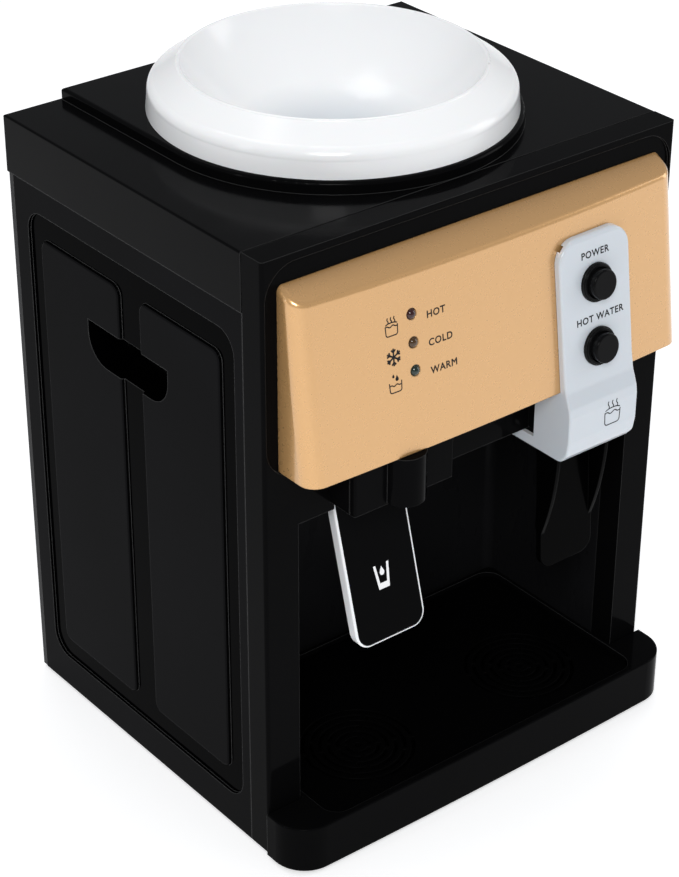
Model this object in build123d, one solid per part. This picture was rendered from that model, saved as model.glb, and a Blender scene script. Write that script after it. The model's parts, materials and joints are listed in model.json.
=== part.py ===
from build123d import *
import math
import os

# Countertop water dispenser, in millimetres.
# Everything is drawn on a bench frame: X across, Y back from the front frame's face, Z up from the
# bottom of the cabinet. save() then moves it to the part's own frame, whose origin is the middle of
# the footprint at the height that the feet stand on.

# ---- driving dimensions -------------------------------------------------------------------------
WIDTH = 290.0  # cabinet across
DEPTH = 239.0  # front frame's face to the back cover's face
HEIGHT = 376.5  # cabinet bottom to the top of the cover
FOOT_RISE = 2.5  # how far the feet hold the cabinet off the worktop
BEAK_REACH = 38.0  # how far the control box stands in front of the frame
WALL = 2.5  # moulded wall
GAP = 0.3  # shut line between mouldings

HALF = WIDTH / 2
FRAME_T = 16.8  # depth of the front frame
COVER_Z = 342.0  # lower edge of the top cover
BACK_T = 5.0  # depth of the back cover's pan
BASE_T = 3.0
SCREW_SINK = 1.8  # the back cover's screw heads lie this far into it

POST_IN = 122.5  # inner face of each front post
LINTEL_Z = 214.8
ALCOVE_BACK = 116.0

SEAT_Y = 125.0  # centre of the bottle seat
PLATFORM_R = 107.6
PLATFORM_H = 7.0
SEAT_HOLE_R = 93.0
SEAT_R = 104.8
SEAT_WALL = 3.0
NECK_R = 29.0  # bottle neck well
WELL_FLOOR_Z = 322.0
SEAT_TOP_Z = 410.3
SPOUT_R = 11.0  # the seat's spout, which enters the cold tank

FASCIA_HALF = 134.4
FASCIA_Z = 251.3
FASCIA_TOP_Z = 360.3
LEAN = 0.134  # the fascia's foot stands further out than its head
FASCIA_FOOT_Y = -26.0

BOX_X = 64.8  # control box centre
BOX_HALF = 26.0
BOX_Z = 207.0
BOX_TOP_Z = 338.5
BOX_PROUD = 5.0
BUTTON_Z = (310.7, 273.3)
BUTTON_R = 10.0
BUTTON_TRAVEL = 3.0

COLD_X = -67.0
HOT_X = BOX_X
TAP_FOOT_Z = 221.0  # lower edge of the cold tap's housing
NOZZLE_Y = -14.5
NOZZLE_R = 5.3
COLD_PIVOT = (8.0, 226.0)  # Y and Z of the cold lever's pin
HOT_PIVOT = (-7.5, 226.0)
PIN_R = 1.5
PIN_FIT = 0.06
LEVER_X = COLD_X + 0.7  # middle of the cold paddle
LEVER_HALF = 24.6
LEVER_RIM = 1.3
LEVER_FOOT_Z = 124.0
LEVER_TOP_Z = 217.0

LED_X = -61.5
LED_Z = (328.7, 312.9, 297.1)
LED_R = 3.0

TRAY_HALF = 147.0
TRAY_RIM_Z = 30.2
GRATE_Z = (24.6, 27.2)
TRAY_FRONT = -30.8
TRAY_BACK = 112.0
DRAIN_X = 64.0
DRAIN_Y = 20.0

TANK_Y = 120.0  # cold tank centre
TANK_R = 55.0
TANK_Z = (238.0, 312.0)
COOLER_Z = 275.0  # centre height of the cooling stack
HOT_TANK = (58.0, 172.0)
HOT_TANK_R = 36.0
HOT_TANK_Z = (72.0, 178.0)
SHANK_Z = 243.0
HOSE_R = 4.0
DRAIN_STUB = (75.0, 38.0)  # X and Z of the drain stub
GLAND = (-100.0, 30.0)  # X and Z of the cord gland
BOARD_X = (-118.0, -30.0)  # power board
BOARD_Y = 216.0
BOARD_Z = (60.0, 130.0)
BOARD_HOLES = [(x, z) for x in (-113.0, -35.0) for z in (65.0, 125.0)]

FACE_Y = -(DEPTH + BEAK_REACH) / 2 + BEAK_REACH
TO_PART = Pos(0, FACE_Y, FOOT_RISE)


# ---- helpers ------------------------------------------------------------------------------------
def block(x, y, z):
    """A box between pairs of limits."""
    size = (x[1] - x[0], y[1] - y[0], z[1] - z[0])
    middle = ((x[0] + x[1]) / 2, (y[0] + y[1]) / 2, (z[0] + z[1]) / 2)
    return Pos(*middle) * Box(*size)


def span(middle, half):
    return (middle - half, middle + half)


def rod_z(x, y, z, r):
    return Pos(x, y, (z[0] + z[1]) / 2) * Cylinder(r, z[1] - z[0])


def rod_y(x, y, z, r):
    return Pos(x, (y[0] + y[1]) / 2, z) * Rot(90, 0, 0) * Cylinder(r, y[1] - y[0])


def rod_x(x, y, z, r):
    return Pos((x[0] + x[1]) / 2, y, z) * Rot(0, 90, 0) * Cylinder(r, x[1] - x[0])


def plate_xz(x, z, y, r):
    """A plate in the XZ plane with round corners, from y[0] back to y[1]."""
    outline = RectangleRounded(x[1] - x[0], z[1] - z[0], r)
    face = Plane((sum(x) / 2, y[0], sum(z) / 2), x_dir=(1, 0, 0), z_dir=(0, 1, 0)) * outline
    return extrude(face, y[1] - y[0], dir=(0, 1, 0))


def plate_yz(y, z, x, r):
    """A plate in the YZ plane with round corners, from x[0] to x[1]."""
    outline = RectangleRounded(y[1] - y[0], z[1] - z[0], r)
    face = Plane((x[0], sum(y) / 2, sum(z) / 2), x_dir=(0, 1, 0), z_dir=(1, 0, 0)) * outline
    return extrude(face, x[1] - x[0], dir=(1, 0, 0))


def side_profile(points, x):
    """A prism along X over an outline of (y, z) points."""
    face = make_face(Polyline(*[(x[0], py, pz) for py, pz in points], close=True))
    return extrude(face, x[1] - x[0], dir=(1, 0, 0))


def polar(count, start=0.0):
    return [math.radians(start + 360 * n / count) for n in range(count)]


def soften(shape, edges, r):
    """Fillet what can be filleted at r, or at half of it."""
    for radius in (r, r / 2):
        try:
            return fillet(edges, radius)
        except ValueError:
            continue
    print("unfilleted", len(edges), "edges at", r)
    return shape


def save(name, *solids):
    shape = solids[0] if len(solids) == 1 else Compound(children=list(solids))
    export_step(TO_PART * shape, "parts/" + name + ".step")


# ---- cabinet ------------------------------------------------------------------------------------
def front_frame():
    frame = block((-HALF, HALF), (0, FRAME_T), (0, HEIGHT))
    frame = soften(frame, frame.edges().filter_by(Axis.Z).group_by(Axis.Y)[0], 2.0)
    frame = soften(frame, frame.faces().sort_by(Axis.Z)[-1].edges().filter_by(Axis.X)[:1], 0.8)
    frame -= block((-POST_IN, POST_IN), (-1, FRAME_T + 1), (BASE_T, LINTEL_Z))
    skin, head_skin = 3.0, 5.5
    for side in (-1, 1):
        post = sorted((side * (POST_IN + skin), side * (HALF - skin)))
        frame -= block(post, (skin, FRAME_T + 1), (skin, LINTEL_Z))
    frame -= block((-HALF + skin, HALF - skin), (head_skin, FRAME_T + 1), (LINTEL_Z + skin, HEIGHT - skin))
    frame -= plate_xz((-HALF + 2, HALF - 2), (247.0, 372.0), (-1, 2.0), 20.0)
    frame -= block(span(COLD_X, 31.0), (-1, FRAME_T + 1), (LINTEL_Z - 1, 234.5))
    for x in (COLD_X, HOT_X):
        frame -= rod_y(x, (-1, FRAME_T), SHANK_Z, 6.3)
    frame -= block((-40, 20), (-1, FRAME_T), (285, 335))
    return frame


def alcove_liner():
    """Back wall, cheeks and ceiling behind the front frame, notched for the cold lever's arm."""
    outer = block(span(0, POST_IN + WALL), (FRAME_T + GAP, ALCOVE_BACK + WALL), (BASE_T + GAP, 217.5))
    inner = block(span(0, POST_IN), (0, ALCOVE_BACK), (0, 215.0))
    liner = outer - inner
    liner -= block(span(COLD_X, 31.0), (FRAME_T, FRAME_T + 8.0), (214.0, 218.0))
    corners = liner.edges().filter_by(Axis.Z).filter_by(lambda e: abs(e.center().Y - ALCOVE_BACK) < 0.01)
    return soften(liner, corners, 6.0)


def side_panel():
    """Left side panel: two raised fields in a sunk band, and a grip pocket across them."""
    x_out = -HALF
    panel = block((x_out, x_out + 4.0), (FRAME_T + GAP, DEPTH - BACK_T - GAP), (0, COVER_Z - GAP))
    band = plate_yz((24.5, 221.0), (22.0, 326.0), (x_out - 1, x_out + 2.0), 14.0)
    fields = [((37.5, 112.0), (37.0, 310.5)), ((131.0, 209.0), (36.0, 311.0))]
    for y, z in fields:
        field = plate_yz(y, z, (x_out - 2, x_out + 3.0), 7.0)
        band -= field
    panel -= band
    raised = panel.faces().filter_by(Axis.X).sort_by(Axis.X)[:3]
    inner = [f for f in raised if f.bounding_box().size.Y < 100]
    for face in inner:
        panel = soften(panel, panel.edges().filter_by(lambda e: on_face(e, face)), 1.8)
    panel += grip_shape(2.0, x_out + 2.5, x_out + 25.0)
    panel -= grip_shape(0.0, x_out - 1, x_out + 23.0)
    for x, z in cover_screw_places():
        if x < 0:
            panel += screw_boss(x, z)
            panel -= rod_y(x, (DEPTH - 13, DEPTH), z, 1.45)
    return panel


def screw_boss(x, z):
    """Post on the side panel that takes one of the back cover's screws."""
    y = (DEPTH - 14.0, DEPTH - BACK_T - GAP)
    return rod_y(x, y, z, 4.0) + block((-HALF + 2.0, x), y, span(z, 4.0))


def on_face(edge, face):
    return any((edge.center() - other.center()).length < 1e-6 for other in face.edges())


def grip_shape(grow, x0, x1):
    """Pocket for the fingertips: a straight upper edge and round lower corners."""
    y, z = (86.0 - grow, 163.0 + grow), (253.5 - grow, 278.5 + grow)
    solid = block((x0, x1), y, z)
    solid = fillet(solid.edges().filter_by(Axis.X).group_by(Axis.Z)[0], 17.0)
    return soften(solid, solid.edges().group_by(Axis.X)[-1], 8.0 + grow)


def mirrored(shape):
    return mirror(shape, Plane.YZ)


def tombstone(r, z0, z1, back):
    """Half disc in front, straight sides to the back."""
    disc = rod_z(0, SEAT_Y, (z0, z1), r)
    return disc + block((-r, r), (SEAT_Y, back), (z0, z1))


def top_cover():
    cover = block(span(0, HALF + 0.4), (FRAME_T + GAP, DEPTH), (COVER_Z, HEIGHT))
    cover = soften(cover, cover.faces().sort_by(Axis.Z)[-1].edges().sort_by(Axis.Y)[1:], 1.2)
    platform = tombstone(PLATFORM_R, HEIGHT - 0.5, HEIGHT + PLATFORM_H, DEPTH - 2.0)
    platform = soften(platform, platform.faces().sort_by(Axis.Z)[-1].edges(), 2.0)
    cover += platform
    cover -= block(span(0, HALF - WALL), (FRAME_T + WALL, DEPTH - WALL), (COVER_Z - 1, HEIGHT - WALL))
    cover -= tombstone(PLATFORM_R - WALL, HEIGHT - 5, HEIGHT + PLATFORM_H - WALL, DEPTH - 2.0 - WALL)
    cover -= rod_z(0, SEAT_Y, (HEIGHT - 5, HEIGHT + PLATFORM_H + 1), SEAT_HOLE_R)
    return cover


def back_cover():
    """Shallow pan with cooling slots, a round fan grille, a gland hole and a drain hole."""
    x = span(0, HALF - 0.4)
    pan = block(x, (DEPTH - BACK_T, DEPTH), (0, COVER_Z - GAP))
    pan = soften(pan, pan.edges().filter_by(Axis.Z).group_by(Axis.Y)[-1], 1.2)
    pan -= block(span(0, HALF - 2.9), (DEPTH - BACK_T - 1, DEPTH - 3), (2.5, COVER_Z - 2.8))
    for ring in (14.0, 21.0, 28.0, 35.0):
        pan -= slotted_ring(0, COOLER_Z, ring, 3.4)
    for row in range(9):
        z = 90.0 + 11.0 * row
        for x_mid in (-70.0, 70.0):
            pan -= plate_xz(span(x_mid, 38.0), span(z, 2.0), (DEPTH - BACK_T, DEPTH + 1), 1.9)
    pan -= rod_y(GLAND[0], (DEPTH - 6, DEPTH + 1), GLAND[1], 6.0)
    pan -= rod_y(DRAIN_STUB[0], (DEPTH - 6, DEPTH + 1), DRAIN_STUB[1], 12.0)
    for x_mid, z in cover_screw_places():
        pan += rod_y(x_mid, (DEPTH - BACK_T, DEPTH - 2.0), z, 5.0)
        pan -= rod_y(x_mid, (DEPTH - 6, DEPTH + 1), z, 1.7)
        pan -= rod_y(x_mid, (DEPTH - SCREW_SINK, DEPTH + 1), z, 3.5)
    return pan


def slotted_ring(x, z, r, width):
    """A ring of four arc slots, as a cutting tool through the back cover."""
    y = (DEPTH - BACK_T, DEPTH + 1)
    ring = rod_y(x, y, z, r + width / 2) - rod_y(x, y, z, r - width / 2)
    bar = block(span(x, 2 * r), y, span(z, 1.6))
    for angle in (45, -45):
        ring -= Pos(x, 0, z) * Rot(0, angle, 0) * Pos(-x, 0, -z) * bar
    return ring


def cover_screw_places():
    return [(x, z) for x in (-134.0, 134.0) for z in (12.0, 120.0, 228.0, 330.0)]


def cover_screws():
    """Pan-head screws that hold the back cover, their heads sunk below its face."""
    screws = []
    for x, z in cover_screw_places():
        shank = rod_y(x, (DEPTH - 12, DEPTH - 1.7), z, 1.4)
        head = rod_y(x, (DEPTH - SCREW_SINK, DEPTH - 0.2), z, 3.2)
        head = soften(head, head.edges().group_by(Axis.Y)[-1], 0.5)
        screws.append(shank + head)
    return screws


def base_plate():
    plate = block(span(0, HALF - 4.3), (FRAME_T + GAP, DEPTH - BACK_T - GAP), (0, BASE_T))
    plate = soften(plate, plate.edges().filter_by(Axis.Z), 6.0)
    for x, y in foot_places():
        plate -= rod_z(x, y, (-1, BASE_T + 1), 5.2)
    for row in range(6):
        plate -= block(span(0, 45.0), span(140.0 + 14.0 * row, 2.5), (-1, BASE_T + 1))
    return plate


def foot_places():
    return [(x, y) for x in (-118.0, 118.0) for y in (42.0, 208.0)]


def rubber_feet():
    """Pads with a plug that is pushed through the base plate."""
    feet = []
    for x, y in foot_places():
        pad = rod_z(x, y, (-FOOT_RISE, -0.05), 12.0)
        pad = soften(pad, pad.edges().group_by(Axis.Z)[0], 1.0)
        plug = Rot(0, 0, 30) * rod_z(0, 0, (-0.05, BASE_T - 0.1), 4.8)
        feet.append(pad + Pos(x, y, 0) * plug)
    return feet


# ---- fascia and control box ---------------------------------------------------------------------
def fascia_body(inset, rear_y=1.6):
    """Bowed plan outline carried up along the lean, cut to the side profile."""
    half, foot = FASCIA_HALF - inset, FASCIA_FOOT_Y + inset
    bow, r, rear = 2.8, 10.0 - min(inset, 6.0), 40.0
    z0 = FASCIA_Z + inset
    front = ThreePointArc((-half, foot, z0), (0, foot - bow, z0), (half, foot, z0))
    sides = Polyline((half, foot, z0), (half, rear, z0), (-half, rear, z0), (-half, foot, z0))
    plan = make_face(front + sides)
    plan = fillet([v for v in plan.vertices() if v.Y < 0], r)
    rise = FASCIA_TOP_Z - z0 + 5
    body = extrude(plan, rise, dir=(0, LEAN, 1))
    reach, pitch = 60.0, 0.55
    top = FASCIA_TOP_Z - inset + pitch * (rear_y - 1.6)
    slope = [(rear_y, z0), (-reach, z0), (-reach, top - pitch * (reach + rear_y)), (rear_y, top)]
    side = side_profile(slope, (-HALF, HALF))
    return body & side


def fascia_panel():
    shell = fascia_body(0.0)
    ridge = [e for e in shell.edges() if e.center().Z > 345 and e.center().Y < -1 and e.length > 5]
    shell = soften(shell, ridge, 3.5)
    shell -= fascia_body(WALL, 10.0)
    shell -= block(span(BOX_X, BOX_HALF - 3.5), (-60, 10), (FASCIA_Z - 5, BOX_TOP_Z - 9))
    for z in LED_Z:
        shell -= on_fascia(LED_X, z) * Pos(0, 0, -1) * Cylinder(LED_R + 0.15, 12)
        shell -= on_fascia(LED_X, z) * Pos(0, 0, 0.6) * Cone(LED_R + 0.15, LED_R + 1.4, 2.0)
    return shell


def fascia_y(x, z):
    """Y of the fascia's outer face."""
    foot = FASCIA_FOOT_Y - 2.8 * (1 - (x / FASCIA_HALF) ** 2)
    return foot + LEAN * (z - FASCIA_Z)


def on_fascia(x, z, proud=0.0):
    """A plane whose origin is on the fascia's face and whose Z is the outward normal."""
    y = fascia_y(x, z) - proud
    return Plane((x, y, z), x_dir=(1, 0, 0), z_dir=(0, -1, LEAN)).location


def led_lens(z):
    """Clear dome with a flange behind the fascia."""
    place = on_fascia(LED_X, z)
    body = Pos(0, 0, -3.4) * Cylinder(LED_R, 6.0)
    dome = Pos(0, 0, -1.3) * Sphere(LED_R) & Pos(0, 0, 1.5) * Box(9, 9, 4.0)
    flange = Pos(0, 0, -4.7) * Cylinder(LED_R + 0.9, 1.2)
    return place * (body + dome + flange)


def indicator_board():
    board = block((-90.0, -34.0), (-9.0, -7.6), (288.0, 338.0))
    parts = [block(span(-82.0, 3), (-7.6, -4.5), span(z, 4)) for z in (300, 320)]
    plug = block(span(-44.0, 4), (-7.6, -1.5), span(312, 9))
    for part in parts + [plug]:
        board += part
    return board


def box_outline(inset):
    """Side profile of the control box as (y, z) points, with its beak at the foot."""
    proud = BOX_PROUD - inset
    face_y = lambda z: fascia_y(BOX_X, z) - proud
    top = BOX_TOP_Z - inset
    beak = -BEAK_REACH + inset
    return [
        (10.0, top),
        (face_y(top), top),
        (face_y(262.0), 262.0),
        (face_y(252.0) - 0.6, 252.0),
        (beak + 0.8, 243.0),
        (beak, 238.0),
        (beak, 222.0),
        (beak + 1.5, 213.5),
        (beak + 7.0, BOX_Z + inset),
        (15.0, BOX_Z + inset),
        (15.0, BOX_Z + 7.3),
        (10.0, BOX_Z + 7.3),
    ]


def rounded_profile(points, x, radii):
    """side_profile with the corners that radii names rounded."""
    solid = side_profile(points, x)
    for index, r in radii.items():
        y, z = points[index]
        edges = solid.edges().filter_by(Axis.X)
        near = [e for e in edges if abs(e.center().Y - y) < 0.01 and abs(e.center().Z - z) < 0.01]
        solid = fillet(near, r)
    return solid


def control_box():
    half = BOX_HALF
    x = span(BOX_X, half)
    radii = {1: 3.0, 3: 12.0, 4: 8.0, 7: 7.0, 8: 6.0}
    body = rounded_profile(box_outline(0.0), x, radii)
    front = plate_xz(x, (BOX_Z - 20, BOX_TOP_Z), (-60, 30), 13.0)
    body = body & front
    hollow = rounded_profile(box_outline(WALL), span(BOX_X, half - WALL), {4: 6.0})
    low_back = block(span(BOX_X, 40), (-9.0, 30), (BOX_Z + 7.3, FASCIA_Z - 0.25))
    rims = [e for e in body.edges() if e.center().Y < -12 and abs(abs(e.center().X - BOX_X) - half) < 0.6]
    body = soften(body, [e for e in rims if e.length > 3], 3.0)
    behind = Pos(0, -0.25, -0.25) * fascia_body(0.0)
    body -= hollow
    body -= low_back
    body -= behind
    body -= block(span(BOX_X, 40), (-8.0, 60), (FASCIA_Z - 0.3, 400))
    body -= block(span(BOX_X, 22.5), (-29.0, 14.0), (BOX_Z - 5, BOX_Z + 5))
    for z in BUTTON_Z:
        body -= on_fascia(BOX_X, z, BOX_PROUD) * Cylinder(BUTTON_R + 0.4, 30)
    return max(body.solids(), key=lambda s: s.volume)


def button_bezel(z):
    """Stepped ring that stands on the control box around a button."""
    place = on_fascia(BOX_X, z, BOX_PROUD)
    low = Pos(0, 0, 0.75) * Cylinder(BUTTON_R + 1.3, 1.5)
    high = Pos(0, 0, 1.5) * Cylinder(BUTTON_R + 0.7, 3.0)
    ring = soften(low + high, (low + high).edges().group_by(Axis.Z)[-1], 0.5)
    sleeve = Pos(0, 0, -2.0) * Cylinder(BUTTON_R + 0.35, 4.0)
    return place * (ring + sleeve - Cylinder(BUTTON_R - 0.9, 20))


def push_button(z):
    """Cap in front of the bezel on a stem that reaches its switch."""
    place = on_fascia(BOX_X, z, BOX_PROUD)
    cap = Pos(0, 0, 4.0) * Cylinder(BUTTON_R - 1.3, 7.4)
    cap = soften(cap, cap.edges().group_by(Axis.Z)[-1], 1.0)
    stem = Pos(0, 0, -2.6) * Cylinder(2.5, 6.0)
    return place * (cap + stem)


def switch_body(z):
    """Latching push switch behind a button, with two blade terminals."""
    place = on_fascia(BOX_X, z, BOX_PROUD)
    case = Pos(0, 0, -14.2) * Box(18, 12, 9.0)
    neck = Pos(0, 0, -9.2) * Cylinder(3.2, 1.2)
    blades = Pos(4, 0, -20.6) * Box(0.8, 5, 4.0) + Pos(-4, 0, -20.6) * Box(0.8, 5, 4.0)
    return place * (case + neck + blades)


# ---- taps ---------------------------------------------------------------------------------------
def cold_tap_housing():
    """Open-bottomed housing on the lintel, with two ears behind it for the lever's pin."""
    x = span(COLD_X, 34.5)
    shell = block(x, (-17.0, -GAP), (TAP_FOOT_Z, 250.9))
    shell -= block(span(COLD_X, 32.3), (-14.5, -2.5), (210.0, 249.2))
    shell -= nozzle_bore()
    y, z = COLD_PIVOT
    for side in (-1, 1):
        ear_x = sorted((COLD_X + side * 27.2, COLD_X + side * 30.4))
        ear = block(ear_x, (-GAP - 1, y), (z - 6, z + 6)) + rod_x(ear_x, y, z, 6.0)
        shell += ear
    shell -= rod_x(span(COLD_X, 32.0), y, z, PIN_R + PIN_FIT)
    shell -= rod_y(COLD_X, (-3, 1), SHANK_Z, 6.0)
    return shell


def nozzle_bore():
    return rod_z(COLD_X, NOZZLE_Y, (210.0, 249.2), NOZZLE_R + 0.05)


def cold_tap_front():
    """Front plate with a hollow half-round spout body in its middle."""
    plate = block(span(COLD_X, 34.5), (-21.5, -17.6), (TAP_FOOT_Z, 250.9))
    plate = soften(plate, plate.edges().filter_by(Axis.Z).group_by(Axis.Y)[0], 1.2)
    spout = rod_z(COLD_X, -21.0, (TAP_FOOT_Z, 250.9), 12.2)
    spout = soften(spout, spout.edges().group_by(Axis.Z)[0], 1.0)
    spout &= block(span(COLD_X, 40), (-60, -17.6), (200, 260))
    plate += spout
    plate -= rod_z(COLD_X, -22.0, (210, 248.0), 9.6) & block(span(COLD_X, 40), (-60, -20.4), (200, 260))
    plate -= nozzle_bore()
    return max(plate.solids(), key=lambda s: s.volume)


def nozzle(x, y, z, r):
    """Short tube that the water falls from."""
    tube = rod_z(x, y, z, r) - rod_z(x, y, (z[0] - 1, z[1] + 1), r - 2.0)
    return soften(tube, tube.edges().group_by(Axis.Z)[0], 0.6)


def cold_shank():
    """Threaded shank from the housing through the frame, with a barb for the hose."""
    shank = rod_y(COLD_X, (-12.4, 22.0), SHANK_Z, 5.7)
    barb = rod_y(COLD_X, (22.0, 34.0), SHANK_Z, HOSE_R - 1.2)
    return shank + barb


def hot_shank():
    shank = rod_y(HOT_X, (-17.0, 22.0), SHANK_Z, 5.7)
    barb = rod_y(HOT_X, (22.0, 34.0), SHANK_Z, HOSE_R - 1.2)
    return shank + barb


def lock_nut(x):
    """Hexagon nut behind the front frame's skin."""
    face = Plane((x, 5.7, SHANK_Z), x_dir=(1, 0, 0), z_dir=(0, 1, 0)) * RegularPolygon(9.5, 6)
    return extrude(face, 5.0, dir=(0, 1, 0)) - rod_y(x, (5, 20), SHANK_Z, 5.75)


def lever_line(z):
    """Y of the cold lever's front face; the paddle leans out at its foot."""
    return -10.2 + 0.28 * (z - 136.0)


def paddle_slab(line, x, z, y, r):
    """A leaning slab from line + y[0] to line + y[1], with round lower corners."""
    rows = ((y[0], z[1]), (y[0], z[0]), (y[1], z[0]), (y[1], z[1]))
    slab = side_profile([(line(pz) + d, pz) for d, pz in rows], x)
    outline = block(x, (-80, 60), (z[0], z[1] + 20))
    low = outline.edges().filter_by(Axis.Y).group_by(Axis.Z)[0]
    return slab & fillet(low, r)


def cold_lever():
    """White paddle body: barrel, arm and a rim around a sunk face."""
    pivot_y, pivot_z = COLD_PIVOT
    top, foot = LEVER_TOP_Z, LEVER_FOOT_Z
    paddle = paddle_slab(lever_line, span(LEVER_X, LEVER_HALF), (foot, top), (0, 7.0), 9.0)
    rim = [e for e in paddle.edges() if e.center().Z < top - 3 and e.length > 8]
    paddle = soften(paddle, rim, 1.2)
    inner = span(LEVER_X, LEVER_HALF - LEVER_RIM)
    paddle -= paddle_slab(lever_line, inner, (foot + LEVER_RIM, top + 3), (-2, 1.5), 7.8)
    arm = side_profile(
        [
            (pivot_y - 3.5, pivot_z),
            (lever_line(top) + 2.0, top + 1.0),
            (lever_line(top - 8) + 2.0, top - 8),
            (lever_line(top - 8) + 7.0, top - 8),
            (lever_line(top) + 7.0, top + 1.0),
            (pivot_y + 3.5, pivot_z),
        ],
        span(COLD_X, 20.0),
    )
    barrel = rod_x((COLD_X - 26.8, COLD_X + 22.2), pivot_y, pivot_z, 4.5)
    lever = paddle + arm + barrel
    return lever - rod_x(span(COLD_X, 40), pivot_y, pivot_z, PIN_R + PIN_FIT)


def cold_lever_face():
    """Black insert pressed into the paddle."""
    z = (LEVER_FOOT_Z + LEVER_RIM + 0.2, LEVER_TOP_Z - 0.2)
    return paddle_slab(lever_line, span(LEVER_X, LEVER_HALF - LEVER_RIM - 0.2), z, (0.1, 1.45), 7.6)


def lever_pin(x, half, pivot):
    return rod_x(span(x, half), pivot[0], pivot[1], PIN_R)


def hot_tap_housing():
    """Open-bottomed box inside the control box's beak; its cheeks carry the lever's pin."""
    x = span(HOT_X, 22.4)
    shell = block(x, (-17.0, -GAP), (216.0, 250.9))
    shell -= block(span(HOT_X, 20.4), (-15.0, -2.5), (210.0, 248.5))
    shell -= block(span(HOT_X, 20.4), (-3.0, 1.0), (210.0, 224.0))
    shell -= rod_x(span(HOT_X, 30.0), HOT_PIVOT[0], HOT_PIVOT[1], PIN_R + PIN_FIT)
    shell -= rod_y(HOT_X, (-20, 1), SHANK_Z, 6.0)
    return shell


def hot_lever_line(z):
    return -10.0 - 0.06 * (200.0 - z)


def hot_lever():
    """Black paddle with a quarter-round flange down each edge."""
    pivot_y, pivot_z = HOT_PIVOT
    half = 20.0
    paddle = paddle_slab(hot_lever_line, span(HOT_X, half), (LEVER_FOOT_Z, 222.0), (0, 4.0), 9.0)
    line = hot_lever_line
    for side in (-1, 1):
        x = sorted((HOT_X + side * (half - 2.5), HOT_X + side * half))
        front = ThreePointArc((x[0], -23.5, 205.5), (x[0], -20.5, 176.0), (x[0], line(148.0), 148.0))
        corners = [(line(148.0), 148.0), (-8.0, 150.0), (-8.0, 205.5), (-23.5, 205.5)]
        back = Polyline(*[(x[0], py, pz) for py, pz in corners])
        flange = extrude(make_face(front + back), x[1] - x[0], dir=(1, 0, 0))
        paddle += flange
    barrel = rod_x((HOT_X - half, HOT_X + half - 4.6), pivot_y, pivot_z, 4.2)
    return paddle + barrel - rod_x(span(HOT_X, 40), pivot_y, pivot_z, PIN_R + PIN_FIT)


def lever_spring(x, pivot):
    """Coil on the pin, between the lever's barrel and the housing's ear."""
    coil = Helix(pitch=1.1, height=3.3, radius=3.4)
    wire = Plane(coil @ 0, z_dir=coil % 0) * Circle(0.4)
    spring = sweep(wire, path=coil, is_frenet=True)
    return Pos(x, *pivot) * Rot(0, 90, 0) * spring


# ---- drip tray ----------------------------------------------------------------------------------
def tray_solid(z0, z1, tongue_z0):
    """Bowed front lip in front of the frame, and a tongue between the posts."""
    front, bow, lip_back = TRAY_FRONT + 1.8, 1.8, -0.5
    arc = ThreePointArc((-TRAY_HALF, front, z0), (0, front - bow, z0), (TRAY_HALF, front, z0))
    corners = [(TRAY_HALF, front), (TRAY_HALF, lip_back), (-TRAY_HALF, lip_back), (-TRAY_HALF, front)]
    lip = extrude(make_face(arc + Polyline(*[(x, y, z0) for x, y in corners])), z1 - z0)
    lip = fillet(lip.edges().filter_by(Axis.Z).group_by(Axis.Y)[0], 21.0)
    tongue = block(span(0, POST_IN - 0.7), (lip_back - 3.0, TRAY_BACK), (tongue_z0, z1))
    return lip + fillet(tongue.edges().filter_by(Axis.Z).group_by(Axis.Y)[-1], 5.0)


def tray_recess(inset, z):
    """The drip area between the posts, with round corners."""
    half = POST_IN - 0.7 - inset
    y = (TRAY_FRONT + 1.8 + inset, TRAY_BACK - inset)
    outline = RectangleRounded(2 * half, y[1] - y[0], 14.0 - inset)
    return extrude(Pos(0, sum(y) / 2, z[0]) * outline, z[1] - z[0])


def drip_tray():
    tray = tray_solid(0.6, TRAY_RIM_Z, BASE_T + 0.6)
    rim = [e for e in tray.edges() if e.center().Z > TRAY_RIM_Z - 0.01]
    tray = soften(tray, rim, 1.0)
    tray -= tray_recess(3.0, (GRATE_Z[0], TRAY_RIM_Z + 1))
    return tray - tray_recess(6.0, (6.0, TRAY_RIM_Z))


def drain_rings(x):
    """Concentric slots, each broken by four bridges."""
    z = (GRATE_Z[0] - 1, GRATE_Z[1] + 1)
    cut = rod_z(x, DRAIN_Y, z, 2.2)
    for n in range(6):
        r = 7.0 + 5.2 * n
        ring = rod_z(x, DRAIN_Y, z, r + 1.2) - rod_z(x, DRAIN_Y, z, r - 1.2)
        for angle in (45, -45):
            ring -= Pos(x, DRAIN_Y, sum(z) / 2) * Rot(0, 0, angle + 22.5 * (n % 2)) * Box(100, 2.4, 12)
        cut += ring
    return cut


def tray_grate():
    grate = tray_recess(3.4, GRATE_Z)
    for x in (-DRAIN_X, DRAIN_X):
        grate -= drain_rings(x)
    return grate


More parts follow.
